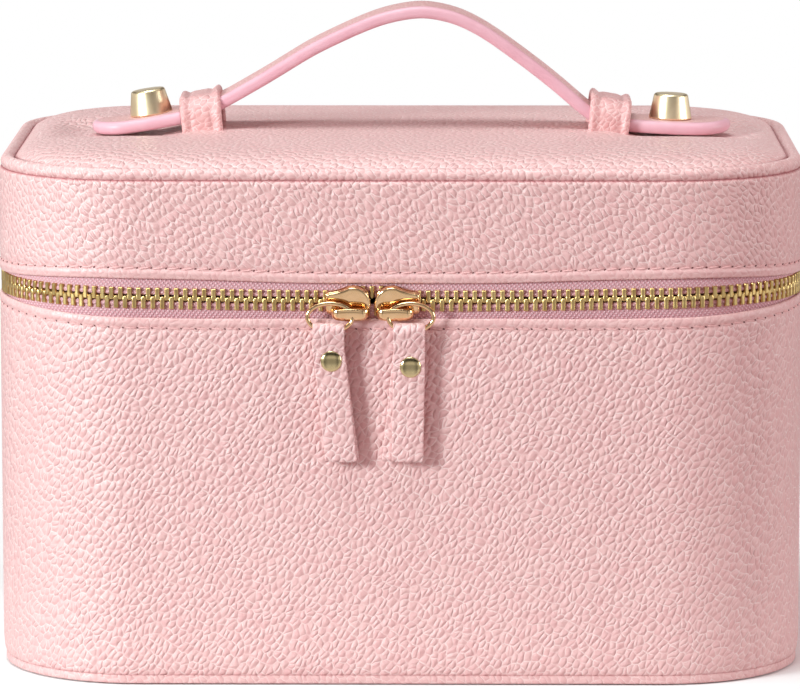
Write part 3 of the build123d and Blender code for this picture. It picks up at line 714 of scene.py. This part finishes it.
def rounded_line(corners, radii, step=1.0):
    """A line through corner points, each inner corner rounded by an arc that touches both
    runs, and then divided evenly by its length."""
    corners = np.asarray(corners, float)
    parts = [corners[:1]]
    for before, at, after, radius in zip(corners, corners[1:], corners[2:], radii):
        first, last = unit(before - at), unit(after - at)
        half = math.acos(np.clip(first @ last, -1, 1)) / 2
        middle = at + unit(first + last) * radius / math.sin(half)
        start = at + first * radius / math.tan(half) - middle
        end = at + last * radius / math.tan(half) - middle
        swept = math.pi - 2 * half
        share = np.linspace(0, 1, 60)[:, None]
        parts.append(
            middle
            + np.sin((1 - share) * swept) / math.sin(swept) * start
            + np.sin(share * swept) / math.sin(swept) * end
        )
    points = np.concatenate(parts + [corners[-1:]])
    length = distances(points)
    even = np.linspace(0, length[-1], int(length[-1] / step) + 1)
    return np.stack([np.interp(even, length, points[:, k]) for k in range(3)], -1)


facets = rounded_section(1, 1.5, 0.3, 1)
bar_section = np.stack(
    [0.93 * facets + 0.07 * np.roll(facets, 1, 0), 0.93 * facets + 0.07 * np.roll(facets, -1, 0)], 1
).reshape(-1, 2)
bow = np.radians(np.linspace(-104, 104, 45))
nose_part = [slider_half - nose_radius, 0] + nose_radius * circle(bow)
bow = np.radians(np.linspace(100, 180, 12))
tail_part = [tail_round - slider_half, tail_half - tail_round] + tail_round * circle(bow)
share = np.linspace(0, 1, 14)[1:-1, None]
waist = nose_part[-1] + (tail_part[0] - nose_part[-1]) * share
waist = waist - [0, 0.3] * np.sin(share * math.pi)
upper_half = np.concatenate([waist, tail_part])
pear = np.concatenate([nose_part, upper_half, upper_half[::-1] * [1, -1]])
pear_radius = np.linalg.norm(pear, axis=1)[:, None]
plate_layers = (  # how far the pear is drawn in, and the height above the plate's foot
    (0.7, 0.0), (0.0, 0.15), (0.0, 0.5), (0.1, 0.76), (0.32, 0.92), (0.75, 1.0), (2.2, 1.06)
)
for side, sign in (("left", -1), ("right", 1)):
    low, high = slider_boxes[side]
    centre = np.array([(low[0] + high[0]) / 2, chain_inset(0) - half_depth, chain_height])
    ahead = np.array([-float(sign), 0, 0])
    out = np.array([0, -math.cos(tilt), -math.sin(tilt)])
    up = np.array([0, -math.sin(tilt), math.cos(tilt)])
    for plate, way in (("face", 1), ("back", -1)):
        rows = np.stack(
            [
                centre
                + (pear * (1 - drawn / pear_radius)) @ np.stack([ahead, up])
                + way * (plate_foot + lift) * out
                for drawn, lift in plate_layers
            ]
        )
        name = f"{side}_slider_{plate}"
        nodes = [f"{side}_slider"] if plate == "face" else ()
        link(skin(name, rows), gilt, f"{side}_slider", nodes)
    for rim, way in (("upper", 1), ("lower", -1)):
        part = pear[way * pear[:, 1] > rim_starts]
        part = part[np.argsort(part[:, 0])]
        line = centre + part @ np.stack([ahead, up * 0.9]) + rim_middle * out
        points = sweep(line, out, rounded_section(rim_deep, rim_thick, 0.3, 3))
        name = f"{side}_slider_{rim}_rim"
        link(skin(name, points), gilt, f"{side}_slider")
    top = bridge_foot + bridge_stand
    ends = np.array([(bridge_half, top, 0), (bridge_half, bridge_foot, 0)])
    arch = rounded_line([*(ends[::-1] * [-1, 1, 1]), *ends], (1.5, 1.5), 0.3)
    line = centre - bridge_drop * up + 0.5 * ahead + arch[:, :2] @ np.stack([ahead, out])
    wide = 3.0 + 0.5 * np.cos(np.linspace(-1, 1, len(line)) * math.pi)
    sections = bar_section * np.stack([wide, np.ones_like(wide)], -1)[:, None]
    mesh = skin(f"{side}_bridge", sweep(line, up, sections))
    link(mesh, gilt, f"{side}_slider")

# ================================================================ pull rings
# An oval of round gilt wire, 1.2 mm thick, through each bridge.
wire = 0.6
turn = np.arange(72) * math.pi / 36
for side in ("left", "right"):
    low, high = place(f"{side}_pull_ring")
    half_x, half_z = (high[0] - low[0]) / 2 - wire, (high[2] - low[2]) / 2 - wire
    line = (low + high) / 2 + np.stack(
        [half_x * np.cos(turn), 0 * turn, half_z * np.sin(turn)], -1
    )
    outward = unit(np.stack([half_z * np.cos(turn), 0 * turn, half_x * np.sin(turn)], -1))
    bend = np.arange(14) * math.pi / 7
    points = (
        line[:, None]
        + wire * np.cos(bend)[:, None] * outward[:, None]
        + wire * np.sin(bend)[:, None] * np.array([0, 1.0, 0])
    )
    mesh = skin(f"{side}_ring_wire", points, ring=True)
    link(mesh, gilt, f"{side}_ring", [f"{side}_pull_ring"])

# ================================================================ leather pulls and rivets
# A strip of leather is folded over the ring's lower wire and riveted to itself. The left
# pull hangs a little askew, and the right pull's rear leaf has swung out to the left.
leaf = 1.0
pull_wide = 8.5
rivet_radius = 2.85
fold_inside = 1.31  # inner radius of the fold round the wire
neck_drop = 4.7  # from the wire to where the leaves meet


def turned(name, profile, foot, axis, steps=64):
    """A turned piece. profile is (radius, height) pairs up the axis from the foot, turned
    round it, and both ends close on the axis."""
    axis = unit(np.asarray(axis, float))
    side = unit(np.cross(axis, [0.0, 1.0, 0.3]))
    other = np.cross(axis, side)
    angle = np.arange(steps) * 2 * math.pi / steps
    ring = np.cos(angle)[:, None] * side + np.sin(angle)[:, None] * other
    profile = np.asarray(profile, float)
    points = (
        np.asarray(foot, float)
        + profile[:, 1, None, None] * axis
        + profile[:, 0, None, None] * ring
    )
    return skin(name, points)


def strip_uv(line, section):
    """UV for a section carried along a line, in millimetres: the distance along the line,
    and the place across the section."""
    return grid(distances(line), np.append(section[:, 0], section[0, 0]))


for side, lean, splay in (("left", 3.4, 0.5), ("right", -0.5, -2.6)):
    bottom = place(f"{side}_pull_tab")[0][2]
    ring_low, ring_high = place(f"{side}_pull_ring")
    centre_x = (ring_low[0] + ring_high[0]) / 2
    middle_y = (ring_low[1] + ring_high[1]) / 2
    wire_z = ring_low[2] + wire
    stand = leaf / 2 + 0.12
    fold = fold_inside + leaf / 2
    neck = wire_z - neck_drop
    drop = np.linspace(bottom, neck, 40)
    turn = np.linspace(math.radians(200), math.radians(-20), 25)
    front_leg = np.stack([np.full_like(drop, -stand), drop], -1)
    bow = [0, wire_z] + fold * circle(turn)
    smooth = np.concatenate([front_leg, bow, front_leg[::-1] * [-1, 1]])
    for _ in range(6):
        smooth[1:-1] = (smooth[:-2] + 2 * smooth[1:-1] + smooth[2:]) / 4
    hang = np.clip((neck - smooth[:, 1]) / (neck - bottom), 0, 1)
    rear = np.arange(len(smooth)) > len(smooth) / 2
    sway = lean * hang + np.where(rear, splay * hang, 0)
    curl = 0.1 * np.sin(hang * math.pi) * np.where(rear, 1, -1)
    line = np.stack([centre_x + sway - 0.4, middle_y + smooth[:, 0] + curl, smooth[:, 1]], -1)
    section = rounded_section(pull_wide, leaf, 0.32, 3)
    uv = strip_uv(line, section)[..., ::-1] + 40 * (side == "left")
    mesh = skin(f"{side}_pull_leather", sweep(line, (1.0, 0, 0), section), uv=uv)
    link(mesh, wall_leather, f"{side}_tab", [f"{side}_pull_tab"])

    rivet_low, rivet_high = place(f"{side}_pull_rivet")
    foot = (rivet_low + rivet_high) / 2
    foot[1] = rivet_high[1]
    deep = rivet_high[1] - rivet_low[1]
    turn = np.linspace(math.pi / 2, 0.02, 16)
    dome = np.stack([rivet_radius * np.sin(turn), deep - 0.85 * (1 - np.cos(turn))], -1)
    stem = [(0.02, 0), (2.2, 0), (2.5, 0.4), (2.5, 0.6), (0.9, 0.6), (0.9, deep - 1.2)]
    stem += [(rivet_radius - 0.2, deep - 1.2), (rivet_radius, deep - 1.05)]
    mesh = turned(f"{side}_rivet_head", np.concatenate([stem, dome]), foot, (0, -1, 0))
    link(mesh, aged_gilt, f"{side}_tab", [f"{side}_pull_rivet"])

# ================================================================ strap handle
# Two layers of fine-grained leather over a flat cord, with edges coated in pink edge
# paint, which dries to a soft gloss.
edge_paint, tree, shader = new_material("edge_paint")
at = add_node(tree, "TexCoord", out="Object")
ripple = add_node(tree, "TexNoise", {"Vector": at, "Scale": 260.0, "Detail": 1.0})
shine = {"Roughness": 0.48, "Coat Weight": 0.08, "Coat Roughness": 0.2}
relief(tree, shader, ripple, "#DBA1AE", "#E2B2BD", 0.12, shine, strength=0.6)

strap_wide, strap_thick = 20.0, 3.4
strap_bend = {"left": (-60.0, 146.9), "right": (59.5, 144.8)}
strap_tip = {"left": (-86.5, 142.8), "right": (91.9, 143.6)}
joint_x = 60.9
strap_heights = [
    (-57.5, 147.8), (-53.5, 149.4), (-49.3, 151.6), (-37.1, 158.6), (-24.9, 166.2), (-12.7, 172.0),
    (-4.6, 175.2), (5.9, 177.1), (15.7, 175.0), (23.8, 170.7), (36.0, 161.8), (44.1, 155.4),
    (50.8, 149.4), (54.6, 146.5), (57.2, 145.3),
]


def divided(outline, count):
    """A closed outline whose sides wider than 4 mm are cut into count equal pieces. Also
    each point's share of its side, and whether that side is a wide one."""
    step = np.roll(outline, -1, 0) - outline
    is_wide = np.abs(step[:, 0]) > 4
    pieces = np.where(is_wide, count, 1)
    start = np.repeat(np.arange(len(outline)), pieces)
    share = (np.arange(len(start)) - np.repeat(np.cumsum(pieces) - pieces, pieces)) / pieces[start]
    return outline[start] + step[start] * share[:, None], share, is_wide[start]


def tongue_frame(side):
    """A tongue's tip, its direction inward, its upward direction, and where it meets the
    arch: the point of the line from the tip to the bend that lies joint_x from the middle."""
    tip = np.array([strap_tip[side][0], 0, strap_tip[side][1]])
    toward = unit(np.array([strap_bend[side][0], 0, strap_bend[side][1]]) - tip)
    up = np.array([-toward[2], 0, toward[0]])
    up *= np.sign(up[2])
    join = tip + toward * (abs(tip[0]) - joint_x) / abs(toward[0])
    return tip, toward, up, join


strap_ends = []
for side in ("left", "right"):
    tip, toward, up, join = tongue_frame(side)
    strap_ends.append(join - toward * 4)
path = [strap_ends[0], *[np.array([x, 0, z]) for x, z in strap_heights], strap_ends[1]]
arch = rounded_line(path, [0.5] * len(strap_heights), 1.2)
for _ in range(16):
    arch[1:-1] = (arch[:-2] + 2 * arch[1:-1] + arch[2:]) / 4
section, share, is_face = divided(rounded_section(strap_wide, strap_thick, 1.3, 5), 12)
crowned = np.where(is_face, 0.4 * np.sin(share * math.pi), 0)
section[:, 1] += np.sign(section[:, 1]) * crowned
inside = ease(np.abs(arch[:, 0]), joint_x - 0.5, joint_x + 1.5)
sections = section[None] * (1 - inside[:, None, None] * [0.09, 0.5])
points = sweep(arch, (0, 1.0, 0), sections)
mesh = skin("strap_arch", points, uv=strip_uv(arch, section), painted=~is_face)
strap = link(mesh, (strap_leather, edge_paint), None, ["handle_strap"])
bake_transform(strap)

# ================================================================ strap tongues and studs
# Each end of the strap is a thicker, round-ended tongue with a fat painted edge. A turned,
# tapered stud of polished pale gilt is screwed on from below and stops it at the loop.
tongue_thick, tongue_round = 3.6, 1.7
stud_from_tip = 16.9
stud_profile = np.array(
    [(0.02, 0), (5.6, 0), (6.0, 0.35), (4.75, 6.7), (4.35, 7.1), (0.02, 7.16)]
)


def softened(profile, radius):
    """A turned profile with its corners rounded by quadratic curves, radius long or less."""
    line = [profile[:1]]
    share = np.linspace(0, 1, 5)[:, None]
    for before, at, after in zip(profile, profile[1:], profile[2:]):
        runs_in, runs_out = np.linalg.norm(before - at), np.linalg.norm(after - at)
        reach = min(radius, 0.45 * runs_in, 0.45 * runs_out)
        start = at + (before - at) / runs_in * reach
        end = at + (after - at) / runs_out * reach
        line.append((1 - share) ** 2 * start + 2 * share * (1 - share) * at + share**2 * end)
    return np.concatenate(line + [profile[-1:]])


quarter = np.linspace(0, math.pi / 2, 8)
from_side, from_top = tongue_round * (1 - np.sin(quarter)), tongue_round * (1 - np.cos(quarter))
drawn = np.concatenate([from_side, from_top])
levels = np.concatenate([from_top, tongue_thick - from_side])
for side in ("left", "right"):
    tip, toward, up, join = tongue_frame(side)
    across = np.cross(up, toward)
    reach = np.linalg.norm(join - tip)
    half = strap_wide / 2
    bow = np.linspace(math.pi / 2, 3 * math.pi / 2, 41)
    straight = np.linspace(reach, half, 16)[:-1]
    edge = np.concatenate(
        [
            np.stack([straight, np.full_like(straight, half)], -1),
            [half, 0] + half * circle(bow),
            np.stack([straight[::-1], np.full_like(straight, -half)], -1),
        ]
    )
    sideways = np.full((len(straight), 2), [0.0, 1.0])
    outward = np.concatenate([sideways, circle(bow), -sideways])
    flat_rings = edge[None] - drawn[:, None, None] * outward
    reached = flat_rings[..., :1]
    bowed = 0.9 * np.clip(1 - reached / 13, 0, None) ** 2
    bowed = bowed + 0.4 * np.clip((reached - 13) / (reach - 13), 0, None) ** 2
    rows = (
        tip
        + flat_rings @ np.stack([toward, across])
        + (levels[:, None, None] - tongue_thick / 2 + bowed) * up
    )
    uv = np.concatenate([flat_rings, flat_rings[:, :1]], 1)
    mesh = skin(f"{side}_tongue", rows, uv=uv, painted=np.ones(len(edge), int), caps=(0, 0))
    materials = (strap_leather, edge_paint)
    link(mesh, materials, f"{side}_end", [f"{side}_strap_end"])
    foot = tip + toward * stud_from_tip + up * (tongue_thick / 2)
    mesh = turned(f"{side}_stud_turned", softened(stud_profile, 0.22), foot, up)
    link(mesh, pale_gilt, f"{side}_end", [f"{side}_stud"])

# ================================================================ keeper loops
# A band of leather with turned, rolled edges stands over the strap, its two legs sewn into
# the lid. Its top slopes down outward, and its shoulders are round.
leg_stand, leg_foot, shoulder = 11.5, 139.8, 5.6
for side, sign, shift, drop in (("left", -1, 1.8, 3.0), ("right", 1, 0.4, 3.8)):
    low, high = place(f"{side}_keeper_loop")
    middle_x = (low[0] + high[0]) / 2 + shift
    wide = high[0] - low[0]
    top = high[2] - drop
    legs = ((-1, leg_foot), (-1, top), (1, top), (1, leg_foot))
    corners = [(0, way * leg_stand, z) for way, z in legs]
    line = rounded_line(corners, (shoulder, shoulder), 0.6)
    section, _, _ = divided(rounded_section(wide, 1.5, 0.68, 4), 16)
    edge = wide / 2 - np.abs(section[:, 0])
    rolled = 0.55 * np.exp(-(((edge - 1.0) / 0.8) ** 2))
    rolled = rolled - 0.35 * np.exp(-(((edge - 2.7) / 0.55) ** 2))
    section[:, 1] += np.sign(section[:, 1]) * rolled
    points = sweep(line + [middle_x, 0, 0], (1.0, 0, 0), section)
    climb = np.clip((points[..., 2] - 142) / 12, 0, 1)
    points[..., 2] -= 0.19 * (np.abs(points[..., 0]) - abs(middle_x)) * climb
    points[..., 0] += sign * 1.3 * climb
    mesh = skin(f"{side}_loop_leather", points, uv=strip_uv(line, section) + 70 * sign)
    link(mesh, strap_leather, "lid", [f"{side}_keeper_loop"])

# ================================================================ leather hinge
# A plain strip of the wall's leather joins the lid to the body at the back, and a strip of
# lining cloth covers it inside.
for name, node, material, slot in (
    ("hinge_leather", "hinge_strip", wall_leather, "pink_leather"),
    ("hinge_cloth", "hinge_lining", lining_cloth, "pink_lining"),
):
    low, high = place(node)
    z = np.linspace(low[2], high[2], 41)
    section = rounded_section(high[0] - low[0], high[1] - low[1], 0.25, 2)
    line = np.stack([0 * z, np.full_like(z, (low[1] + high[1]) / 2), z], -1)
    mesh = skin(name, sweep(line, (1.0, 0, 0), section))
    strip = link(mesh, material, None, [node])
    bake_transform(strip)

# ================================================================ pieces kept from the frame
# The base panel, boards, foam, linings and stud screws keep their CAD shape and take the
# finish of their own material.
by_slot = {
    "pink_leather": panel_leather,
    "strap_leather": panel_leather,
    "pink_lining": lining_cloth,
    "zip_tape": zip_twill,
    "antique_gold": antique_brass,
    "polished_gold": gilt,
    "steel_screw": screw_steel,
    "greyboard": greyboard,
    "foam_padding": foam_sheet,
}
for entry in frame["record"]["subparts"]:
    kept = frame["nodes"][entry["node"]]
    kept.data.materials.clear()
    kept.data.materials.append(by_slot[entry["material_slot"]])

# ================================================================ floor
# A plain white table, which fades away at a distance from the case and is clear from below.
floor_mesh = bpy.data.meshes.new("floor")
floor_z = -5e-5  # a hair under the case, so that the two faces never meet
floor_corners = [(x, y, floor_z) for x, y in ((-6, -6), (6, -6), (6, 6), (-6, 6))]
floor_mesh.from_pydata(floor_corners, [], [(0, 1, 2, 3)])
floor = bpy.data.objects.new("floor", floor_mesh)
scene.collection.objects.link(floor)
floor_paint, tree, shader = new_material("white_table")
feed(tree, shader, {"Base Color": "#FBFAFA", "Roughness": 0.7})
at = add_node(tree, "TexCoord", out="Object")
reach = add_node(tree, "VectorMath", {0: at}, out="Value", operation="LENGTH")
fade = add_node(
    tree, "MapRange", {"Value": reach, "From Min": 0.1, "From Max": 0.3},
    interpolation_type="SMOOTHSTEP",
)
clear = add_node(tree, "BsdfTransparent")
dim = add_node(tree, "BsdfDiffuse", {"Color": "#D8D0D0"})
seen_straight = add_node(tree, "LightPath")
table = add_node(tree, "MixShader", {0: seen_straight, 1: dim, 2: shader.outputs[0]})
from_below = add_node(tree, "NewGeometry", out="Backfacing")
gone = add_node(tree, "Math", {0: fade, 1: from_below}, operation="MAXIMUM")
mixed = add_node(tree, "MixShader", {0: gone, 1: table, 2: clear})
feed(tree, tree.nodes["Material Output"], {"Surface": mixed})
floor_mesh.materials.append(floor_paint)

# ================================================================ studio light
# A large soft light from the left, one from above and a weak one from the right. The world
# is plain white to the camera. Polished metal sees the bright table below, a middling
# horizon with two darker stretches, a dark room above it and a bright ceiling.
world = bpy.data.worlds.new("studio")
scene.world = world
world.use_nodes = True
tree = world.node_tree
tree.nodes.clear()
toward = add_node(tree, "SeparateXYZ", {0: add_node(tree, "TexCoord", out="Generated")})
parts = toward.node.outputs
across = add_node(tree, "Math", {0: parts["X"]}, operation="ABSOLUTE")
half_up = add_node(tree, "Math", {0: parts["Z"], 1: 0.5, 2: 0.5}, operation="MULTIPLY_ADD")
floor_to_ceiling = (  # the grey at each share of the way up: the two ends, then between
    (0.0, 1.0), (1.0, 1.0), (0.3, 0.95), (0.38, 0.55), (0.49, 0.5), (0.53, 1.0), (0.6, 0.9),
    (0.66, 0.12), (0.8, 0.1), (0.88, 0.9),
)
middle_to_sides = (
    (0.0, 0.75), (1.0, 0.75), (0.2, 0.8), (0.38, 0.42), (0.5, 0.32), (0.56, 1.0), (0.8, 1.0)
)
greys = []
for value, stops in ((half_up, floor_to_ceiling), (across, middle_to_sides)):
    grey = add_node(tree, "ValToRGB", {0: value})
    points = grey.node.color_ramp.elements
    for point, (position, level) in zip((points[0], points[1]), stops):
        point.position, point.color = position, (level, level, level, 1)
    for position, level in stops[2:]:
        points.new(position).color = (level, level, level, 1)
    greys.append(grey)
mirror = add_node(
    tree, "Mix", {0: 1.0, 6: greys[0], 7: greys[1]},
    out=2, data_type="RGBA", blend_type="MULTIPLY",
)
path = add_node(tree, "LightPath").node.outputs
seen = add_node(tree, "Background", {"Color": (1, 1, 1, 1), "Strength": 1.0})
lit = add_node(tree, "Background", {"Color": (1, 0.57, 0.57, 1), "Strength": 0.31})
shiny = add_node(tree, "Background", {"Color": mirror, "Strength": 1.0})
either = add_node(tree, "MixShader", {0: path["Is Glossy Ray"], 1: lit, 2: shiny})
either = add_node(tree, "MixShader", {0: path["Is Camera Ray"], 1: either, 2: seen})
feed(tree, tree.nodes.new("ShaderNodeOutputWorld"), {"Surface": either})

for name, at, size, power, tint, aim in (
    ("key", (-0.85, -0.72, 0.38), 0.28, 13.0, (0.84, 1, 1), (0, -0.07, 0.09)),
    ("top", (-0.2, -0.25, 1.43), 0.7, 13.2, (0.82, 1, 1), (0, 0, 0.1)),
    ("fill", (1.15, -0.24, 0.34), 0.5, 6.1, (0.92, 1, 1), (0, 0, 0.09)),
):
    lamp_data = bpy.data.lights.new(name, "AREA")
    lamp_data.shape = "SQUARE"
    lamp_data.size = size
    lamp_data.energy = power
    lamp_data.color = tint
    lamp = bpy.data.objects.new(name, lamp_data)
    lamp.location = at
    lamp.rotation_euler = (Vector(aim) - Vector(at)).to_track_quat("-Z", "Y").to_euler()
    scene.collection.objects.link(lamp)

# ================================================================ camera
# A long lens from a little above, 1.5 m in front of the case.
camera_data = bpy.data.cameras.new("camera")
camera_data.sensor_width = 36.0
camera_data.lens = 246.3
camera_data.clip_end = 50
camera = bpy.data.objects.new("camera", camera_data)
beside, down = 0.010, math.radians(8.615)
camera.location = (beside, -1.525, 0.3130)
camera.rotation_euler = (math.pi / 2 - down, 0, math.atan2(beside, 1.45))
scene.collection.objects.link(camera)
scene.camera = camera
scene.view_settings.view_transform = "Standard"
